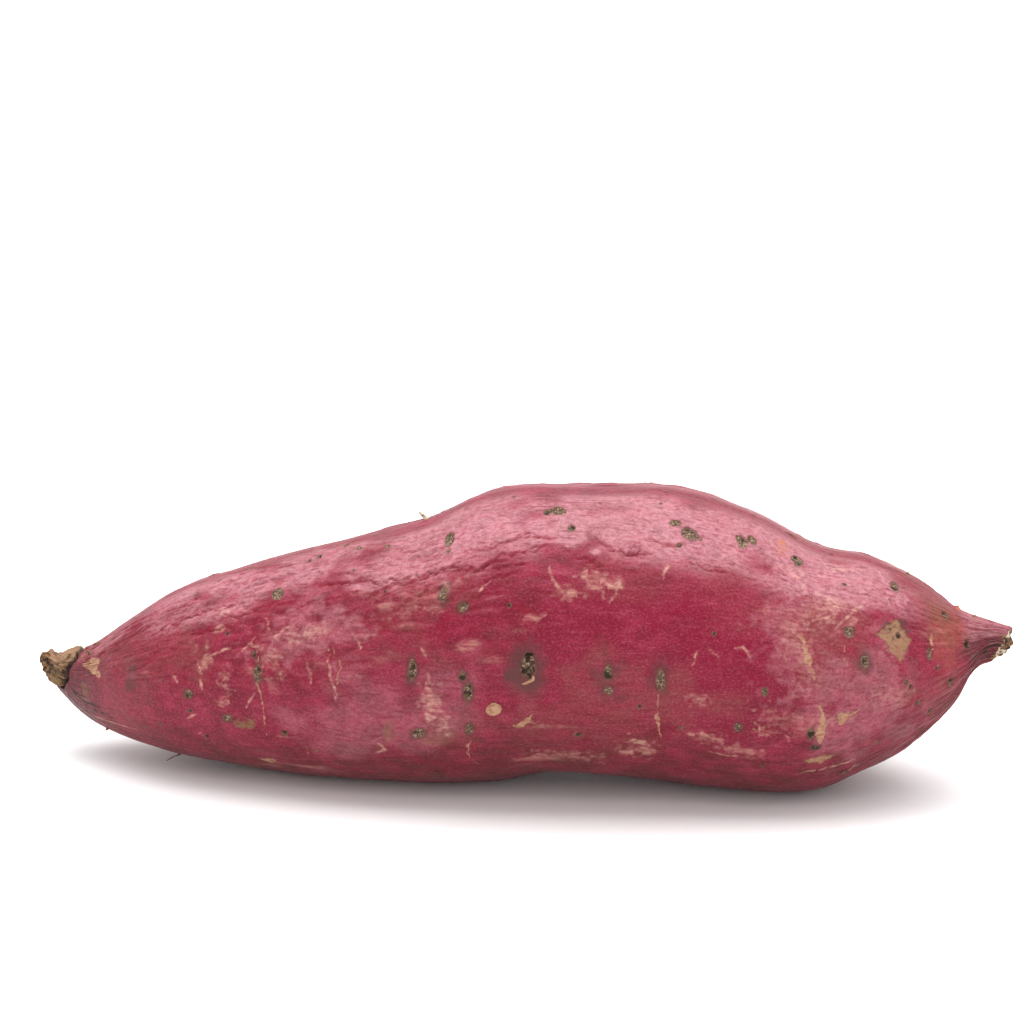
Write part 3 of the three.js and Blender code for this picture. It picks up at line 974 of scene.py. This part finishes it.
def rootlet_map(corners, size):
    """Where corners of the rootlets lie in the bake map: each rootlet has a stripe of its own."""
    which, point = corners // size, corners % size
    ring, corner = point // ROOTLET_SIDES, point % ROOTLET_SIDES
    u = STRIP_START + (1 - STRIP_START) * ring / ROOTLET_RINGS
    return np.stack([u, (which + corner / ROOTLET_SIDES) / len(ROOTLETS)], -1)


def skin_mesh(skin):
    """The skin and its rootlets as one mesh, with the bake map and the masks."""
    place = displaced(skin)
    rings = len(place)
    rootlets = [rootlet(skin, place, *row[:-1]) for row in ROOTLETS]
    size, start = len(rootlets[0]), rings * COLUMNS + 2
    verts = np.vstack([place.reshape(-1, 3), place[0].mean(0), place[-1].mean(0), *rootlets]) * MM
    faces = [face for k in range(len(rootlets)) for face in rootlet_faces(start + k * size)]
    corners = np.array([corner for face in faces for corner in face])
    parts = grid_faces(rings)
    loops = np.concatenate([*(part.ravel() for part in parts), corners])
    sizes = [np.full(len(part), part.shape[1]) for part in parts]
    sizes = np.concatenate([*sizes, [len(face) for face in faces]])

    mesh = bpy.data.meshes.new("sweet_potato_skin")
    mesh.vertices.add(len(verts))
    mesh.vertices.foreach_set("co", verts.ravel())
    mesh.loops.add(len(loops))
    mesh.loops.foreach_set("vertex_index", loops)
    mesh.polygons.add(len(sizes))
    mesh.polygons.foreach_set("loop_start", np.concatenate([[0], np.cumsum(sizes)[:-1]]))
    mesh.polygons.foreach_set("loop_total", sizes)
    mesh.update(calc_edges=True)
    mesh.polygons.foreach_set("use_smooth", np.ones(len(sizes), dtype=bool))
    layer = mesh.uv_layers.new(name="OFBake")
    places = np.vstack([grid_map(rings), rootlet_map(corners - start, size)])
    layer.data.foreach_set("uv", places.ravel())

    for name, mask in skin.masks.items():
        tubes = np.repeat([1.0 if row[-1] == name else 0.0 for row in ROOTLETS], size)
        values = np.concatenate([mask.ravel(), [mask[0].mean(), mask[-1].mean()], tubes])
        attribute = mesh.attributes.new(name, "FLOAT", "POINT")
        attribute.data.foreach_set("value", np.clip(values, 0, 1).astype(np.float32))
    mesh.validate()
    return mesh


# ---- Material

# Colours are linear RGB.
ROSE = (0.245, 0.0155, 0.043)
DEEP = (0.130, 0.0052, 0.0165)
CRIMSON = (0.195, 0.0008, 0.023)
# Pale specks, partly painted glints on the fine bumps.
SPECK_AND_PAINTED_GLINT = (0.37, 0.108, 0.130)
# A painted highlight, partly waxy bloom.
BLOOM_AND_PAINTED_HIGHLIGHT = (0.61, 0.30, 0.335)
DUST = (0.205, 0.048, 0.046)
HALO = (0.070, 0.030, 0.027)
PALE = (0.56, 0.31, 0.235)
FLAKE = (0.41, 0.238, 0.145)
FLAKE_SHADE = (0.25, 0.115, 0.062)
SCAR = (0.080, 0.046, 0.030)
SCAR_LIGHT = (0.33, 0.22, 0.15)
RIM = (0.15, 0.070, 0.045)
# Nearly black: dark marks, and painted shade along the tip's crack.
DARK_MARK_AND_SHADE = (0.026, 0.014, 0.011)
PURPLE = (0.070, 0.023, 0.029)
OLIVE = (0.175, 0.105, 0.045)
RUST = (0.42, 0.13, 0.06)
# Painted shade in creases and cracks.
PAINTED_CREASE_SHADE = (0.20, 0.008, 0.02)
# Painted shade under the root.
PAINTED_UNDERSIDE_SHADE = (0.075, 0.014, 0.012)
BARK = (0.22, 0.12, 0.06)
BARK_DARK = (0.045, 0.025, 0.016)
CUT = (0.62, 0.54, 0.42)


class Nodes:
    """Short calls that add shader nodes to a material and join them up."""

    def __init__(self, name):
        self.material = bpy.data.materials.new(name)
        self.material.use_nodes = True
        self.tree = self.material.node_tree
        self.tree.nodes.clear()
        self.place = self.add("ShaderNodeTexCoord").outputs["Object"]

    def add(self, kind):
        return self.tree.nodes.new(kind)

    def feed(self, socket, value):
        """Links an output to a socket, or sets the socket to a number or a colour."""
        if isinstance(value, bpy.types.NodeSocket):
            self.tree.links.new(value, socket)
        elif isinstance(value, tuple):
            socket.default_value = (*value, 1.0)
        else:
            socket.default_value = value

    def mask(self, name):
        node = self.add("ShaderNodeAttribute")
        node.attribute_name = name
        return node.outputs["Fac"]

    def noise(self, size, detail=2.0, stretch=1.0):
        """Noise with features about size mm across, drawn out along the root by stretch."""
        scale = self.add("ShaderNodeVectorMath")
        scale.operation = "MULTIPLY"
        self.feed(scale.inputs[0], self.place)
        scale.inputs[1].default_value = (1 / stretch, 1.0, 1.0)
        node = self.add("ShaderNodeTexNoise")
        self.feed(node.inputs["Vector"], scale.outputs[0])
        node.inputs["Scale"].default_value = 1 / (size * MM)
        node.inputs["Detail"].default_value = detail
        return node.outputs["Fac"]

    def math(self, operation, first, second, clamp=False):
        node = self.add("ShaderNodeMath")
        node.operation = operation
        node.use_clamp = clamp
        self.feed(node.inputs[0], first)
        self.feed(node.inputs[1], second)
        return node.outputs[0]

    def times(self, first, second):
        return self.math("MULTIPLY", first, second)

    def ramp(self, value, low, high, bottom=0.0, top=1.0):
        """A smooth step of the value between low and high."""
        node = self.add("ShaderNodeMapRange")
        node.interpolation_type = "SMOOTHSTEP"
        self.feed(node.inputs["Value"], value)
        for key, number in zip(("From Min", "From Max", "To Min", "To Max"), (low, high, bottom, top)):
            node.inputs[key].default_value = number
        return node.outputs["Result"]

    def mix(self, first, second, share):
        node = self.add("ShaderNodeMix")
        node.data_type = "RGBA"
        self.feed(node.inputs[0], share)
        self.feed(node.inputs[6], first)
        self.feed(node.inputs[7], second)
        return node.outputs[2]

    def surface(self, settings):
        """Joins a principled shader with these inputs to the output, and gives the material."""
        shader = self.add("ShaderNodeBsdfPrincipled")
        for name, value in settings.items():
            self.feed(shader.inputs[name], value)
        output = self.add("ShaderNodeOutputMaterial")
        self.feed(output.inputs["Surface"], shader.outputs["BSDF"])
        return self.material

    def crisp(self, name, grain, low=0.35, high=0.65, ragged=0.5):
        """A mask with its soft edge made sharp and broken up by the grain."""
        shift = self.times(self.math("SUBTRACT", grain, 0.5), ragged)
        return self.ramp(self.math("ADD", self.mask(name), shift), low, high)

    def faint(self, name, grain, low=0.2, high=0.8):
        """A mask thinned out where the grain is low."""
        return self.math("MULTIPLY", self.mask(name), self.ramp(grain, low, high, 0.35, 1.15), True)


def skin_material():
    n = Nodes("sweet_potato_skin")
    speckle = n.noise(0.34, 1.0, 1.3)
    grain = n.noise(0.7, 3.0, 1.6)
    mottle = n.noise(2.6, 3.0, 1.8)
    cloud = n.noise(11.0, 3.0, 1.5)
    fibre = n.noise(0.75, 3.0, 7.0)

    scuffed = n.times(n.faint("pale", grain, 0.35, 0.62), n.ramp(fibre, 0.35, 0.6, 0.4, 1.0))
    flaked = n.mix(FLAKE, FLAKE_SHADE, n.ramp(grain, 0.42, 0.72))
    flaked = n.mix(flaked, ROSE, n.ramp(fibre, 0.5, 0.72, 0.0, 0.45))
    corky = n.mix(SCAR, SCAR_LIGHT, n.ramp(speckle, 0.45, 0.70, 0.05, 0.95))
    corky = n.mix(RIM, corky, n.ramp(n.mask("scar"), 0.55, 0.75))
    barky = n.mix(BARK, BARK_DARK, n.ramp(grain, 0.42, 0.62))
    barky = n.mix(barky, FLAKE, n.times(n.mask("rust"), 0.6))
    barky = n.mix(barky, OLIVE, n.times(n.mask("olive"), 0.8))
    woody = n.mix(CUT, BARK, n.ramp(grain, 0.5, 0.68))

    # From the bottom up: the colour of each layer, and how much of the layers below it hides.
    layers = [
        (DEEP, n.ramp(mottle, 0.32, 0.72)),
        (DEEP, n.ramp(cloud, 0.45, 0.8, 0.0, 0.6)),
        (CRIMSON, n.faint("crimson", mottle)),
        (DUST, n.times(n.faint("dust", mottle), 0.75)),
        # Painted shade under the root.
        (PAINTED_UNDERSIDE_SHADE, n.times(n.faint("painted_underside_shade", mottle), 0.88)),
        (PURPLE, n.faint("purple", grain)),
        # A painted highlight along the top, partly waxy bloom.
        (BLOOM_AND_PAINTED_HIGHLIGHT, n.times(n.faint("bloom", grain), 0.6)),
        (DEEP, n.ramp(fibre, 0.48, 0.3, 0.0, 0.5)),
        # Pale specks and streaks, partly painted glints.
        (SPECK_AND_PAINTED_GLINT, n.ramp(fibre, 0.55, 0.75, 0.0, 0.16)),
        (SPECK_AND_PAINTED_GLINT, n.ramp(speckle, 0.42, 0.8, 0.0, 0.26)),
        (DEEP, n.ramp(speckle, 0.52, 0.22, 0.0, 0.5)),
        # Painted shade in the creases and cracks.
        (PAINTED_CREASE_SHADE, n.times(n.mask("crease"), 0.8)),
        (HALO, n.times(n.faint("halo", mottle, 0.0, 0.55), 0.8)),
        (OLIVE, n.faint("olive", grain)),
        (RUST, n.faint("rust", grain)),
        (PALE, n.times(scuffed, 0.72)),
        (flaked, n.times(n.crisp("flake", grain, 0.3, 0.75, 0.8), 0.92)),
        (corky, n.crisp("scar", grain, 0.3, 0.68, 0.35)),
        (woody, n.crisp("cut", grain)),
        (barky, n.crisp("bark", grain)),
        # Dark marks, and painted shade along the tip's crack.
        (DARK_MARK_AND_SHADE, n.times(n.crisp("dark_mark_and_shade", speckle, 0.3, 0.9, 0.9), 0.92)),
    ]
    colour = ROSE
    for tone, share in layers:
        colour = n.mix(colour, tone, share)

    dry = n.mask("scar")
    for name in ("flake", "bark", "cut"):
        dry = n.math("MAXIMUM", dry, n.mask(name))
    rough = n.math("ADD", n.ramp(grain, 0.3, 0.7, 0.36, 0.50), n.times(dry, 0.3))

    height = n.math("ADD", n.times(speckle, 0.35), grain)
    height = n.math("ADD", height, n.times(n.noise(0.5, 1.0, 6.0), 0.6))
    bumps = n.add("ShaderNodeBump")
    bumps.inputs["Strength"].default_value = 0.55
    bumps.inputs["Distance"].default_value = 0.12 * MM
    n.feed(bumps.inputs["Height"], height)

    return n.surface({
        "Base Color": colour,
        "Roughness": rough,
        "Normal": bumps.outputs["Normal"],
        "Specular IOR Level": 0.15,
        "Sheen Weight": 0.04,
        "Sheen Roughness": 0.45,
        "Sheen Tint": (1.0, 0.75, 0.72),
    })


# ---- Studio

def floor_material():
    n = Nodes("studio_floor")
    tone = n.mix((0.88, 0.865, 0.865), (0.91, 0.90, 0.90), n.noise(40.0, 2.0))
    return n.surface({"Base Color": tone, "Roughness": 0.8})


# The floor's side in metres, and how far below the resting plane it lies, in mm.
FLOOR_SIZE = 11.0
FLOOR_GAP = 0.02


def floor():
    mesh = bpy.data.meshes.new("studio_floor")
    half, z = FLOOR_SIZE / 2, -FLOOR_GAP * MM
    corners = [(-half, -half, z), (half, -half, z), (half, half, z), (-half, half, z)]
    mesh.from_pydata(corners, [], [(0, 1, 2, 3)])
    mesh.materials.append(floor_material())
    thing = bpy.data.objects.new("studio_floor", mesh)
    bpy.context.collection.objects.link(thing)


def soft_light(name, place, aim, size, watts, spread):
    """A soft box that faces a point and spreads its light over this many degrees."""
    data = bpy.data.lights.new(name, "AREA")
    data.shape = "RECTANGLE"
    data.size, data.size_y = size
    data.energy = watts
    data.spread = math.radians(spread)
    lamp = bpy.data.objects.new(name, data)
    lamp.location = place
    lamp.rotation_euler = (Vector(aim) - Vector(place)).to_track_quat("-Z", "Y").to_euler()
    bpy.context.collection.objects.link(lamp)


# The soft box over the root: place, what it faces, size in metres, watts, and spread in degrees.
OVERHEAD = ((0.0, 0.10, 1.05), (0.0, 0.0, 0.03), (1.15, 0.85), 13.0, 180)

# Four boxes keep the far floor white: how far out and how high they hang in metres, and as above.
FAR_OUT, FAR_UP = 3.6, 2.6
FAR_SIZE, FAR_WATTS, FAR_SPREAD = (4.0, 4.0), 110.0, 80

# How bright the white surroundings are.
WORLD_STRENGTH = 1.04


def studio():
    world = bpy.data.worlds.new("studio")
    bpy.context.scene.world = world
    world.use_nodes = True
    background = world.node_tree.nodes["Background"]
    background.inputs["Color"].default_value = (1.0, 1.0, 1.0, 1.0)
    background.inputs["Strength"].default_value = WORLD_STRENGTH
    soft_light("overhead", *OVERHEAD)
    for k, (x, y) in enumerate(((0.0, FAR_OUT), (FAR_OUT, 0.0), (0.0, -FAR_OUT), (-FAR_OUT, 0.0))):
        soft_light(f"far_floor_{k}", (x, y, FAR_UP), (x, y, 0.0), FAR_SIZE, FAR_WATTS, FAR_SPREAD)
    bpy.context.scene.view_settings.view_transform = "Standard"


# The camera stands in front of the root and a little to the stem's side, and looks down slightly:
# degrees, degrees, metres from what it aims at, and millimetres of lens. It aims at the middle of
# the root, moved to the front by AIM_FORWARD metres, at AIM_HEIGHT of the root's height.
AZIMUTH = 5.0
ELEVATION = 14.5
DISTANCE = 0.486
LENS = 85.0
AIM_FORWARD = 0.0011
AIM_HEIGHT = 0.912


def camera():
    low, high = (np.array(corner) for corner in CAD_BOX)
    aim = Vector(((low[0] + high[0]) / 2, (low[1] + high[1]) / 2 - AIM_FORWARD, AIM_HEIGHT * high[2]))
    a, e = math.radians(AZIMUTH), math.radians(ELEVATION)
    back = Vector((math.sin(a) * math.cos(e), -math.cos(a) * math.cos(e), math.sin(e)))
    data = bpy.data.cameras.new("camera")
    data.lens = LENS
    data.clip_start = 0.01
    thing = bpy.data.objects.new("camera", data)
    thing.location = aim + back * DISTANCE
    thing.rotation_euler = back.to_track_quat("Z", "Y").to_euler()
    bpy.context.collection.objects.link(thing)
    bpy.context.scene.camera = thing


# ---- The scene

def sweet_potato():
    """The finished skin, which rides on the root's body and replaces its CAD node."""
    skin = Skin(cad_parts[NODE])
    wrinkle(skin)
    tint(skin)
    mark_front(skin)
    strew(skin)
    finish_tip(skin)
    finish_stem(skin)
    mesh = skin_mesh(skin)
    mesh.materials.append(skin_material())
    piece = bpy.data.objects.new("sweet_potato_skin", mesh)
    bpy.context.collection.objects.link(piece)
    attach(piece, BODY)
    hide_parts(NODE)


camera()
studio()
floor()
sweet_potato()
